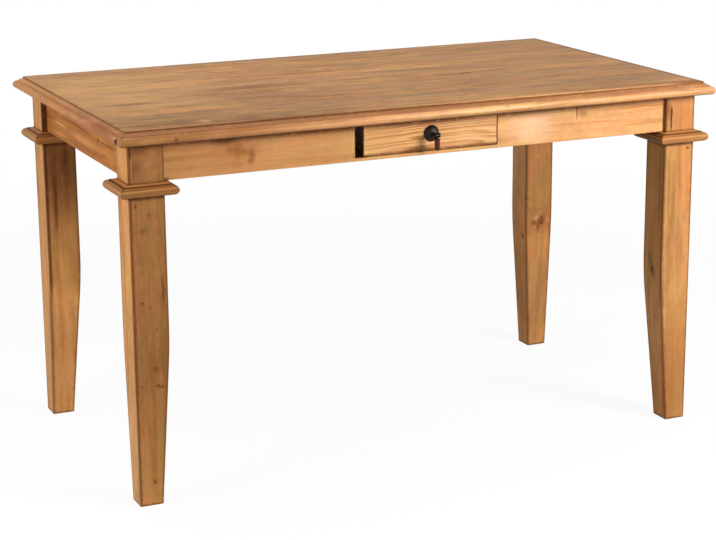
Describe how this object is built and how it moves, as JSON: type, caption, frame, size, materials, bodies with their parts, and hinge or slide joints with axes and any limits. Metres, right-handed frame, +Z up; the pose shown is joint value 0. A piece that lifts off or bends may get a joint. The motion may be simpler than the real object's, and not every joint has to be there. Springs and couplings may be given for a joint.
{
  "type": "tavern table",
  "caption": "Rustic pine table with a plank top, mitred moulded edge, square legs tapered below moulded collars, and a small apron drawer with an iron drop pull.",
  "frame": {"origin": "on the floor, at the middle of the table's footprint", "axes": "+X along the table, to the right seen from the drawer side; -Y to the drawer side; +Z up"},
  "size_m": [1.391, 0.807, 0.8],
  "materials": {
    "pine_top": "waxed pine boards, worn satin",
    "pine_frame": "honey waxed pine, satin",
    "pine_drawer_front": "honey waxed pine with marked grain, satin",
    "pine_inside": "bare sawn pine",
    "pull_iron": "blackened iron, worn satin",
    "screw_steel": "plain steel"
  },
  "bodies": {
    "table": {"apron_back": "pine_frame", "apron_front": "pine_frame", "apron_left": "pine_frame", "apron_right": "pine_frame", "batten_left": "pine_inside", "batten_right": "pine_inside", "batten_screws": "screw_steel", "block_screws": "screw_steel", "collar_back_left_back": "pine_frame", "collar_back_left_front": "pine_frame", "collar_back_left_left": "pine_frame", "collar_back_left_right": "pine_frame", "collar_back_right_back": "pine_frame", "collar_back_right_front": "pine_frame", "collar_back_right_left": "pine_frame", "collar_back_right_right": "pine_frame", "collar_front_left_back": "pine_frame", "collar_front_left_front": "pine_frame", "collar_front_left_left": "pine_frame", "collar_front_left_right": "pine_frame", "collar_front_right_back": "pine_frame", "collar_front_right_front": "pine_frame", "collar_front_right_left": "pine_frame", "collar_front_right_right": "pine_frame", "drawer_bearer_left": "pine_inside", "drawer_bearer_right": "pine_inside", "drawer_guide_left": "pine_inside", "drawer_guide_right": "pine_inside", "drawer_stops": "pine_inside", "edge_moulding_back": "pine_frame", "edge_moulding_front": "pine_frame", "edge_moulding_left": "pine_frame", "edge_moulding_right": "pine_frame", "fixing_block_back_left": "pine_inside", "fixing_block_back_right": "pine_inside", "fixing_block_front_left": "pine_inside", "fixing_block_front_right": "pine_inside", "fixing_block_left_end": "pine_inside", "fixing_block_right_end": "pine_inside", "leg_back_left": "pine_frame", "leg_back_right": "pine_frame", "leg_front_left": "pine_frame", "leg_front_right": "pine_frame", "top_plank_1": "pine_top", "top_plank_2": "pine_top", "top_plank_3": "pine_top", "top_plank_4": "pine_top", "top_plank_5": "pine_top"},
    "drawer": {"drawer_front": "pine_drawer_front", "drawer_side_left": "pine_inside", "drawer_side_right": "pine_inside", "drawer_back": "pine_inside", "drawer_bottom": "pine_inside", "pull_rosette": "pull_iron", "pull_stud": "pull_iron", "pull_nut": "pull_iron", "pull_pin": "pull_iron"},
    "drop": {"pull_drop": "pull_iron"}
  },
  "joints": [
    {"name": "drawer_slide", "type": "slide", "parent": "table", "child": "drawer", "axis": [0, -1, 0], "range_m": [0, 0.3]},
    {"name": "drop_swing", "type": "hinge", "parent": "drawer", "child": "drop", "pos_m": [0.01395, -0.375, 0.73185], "axis": [-1, 0, 0], "range_deg": [-25, 100]}
  ]
}
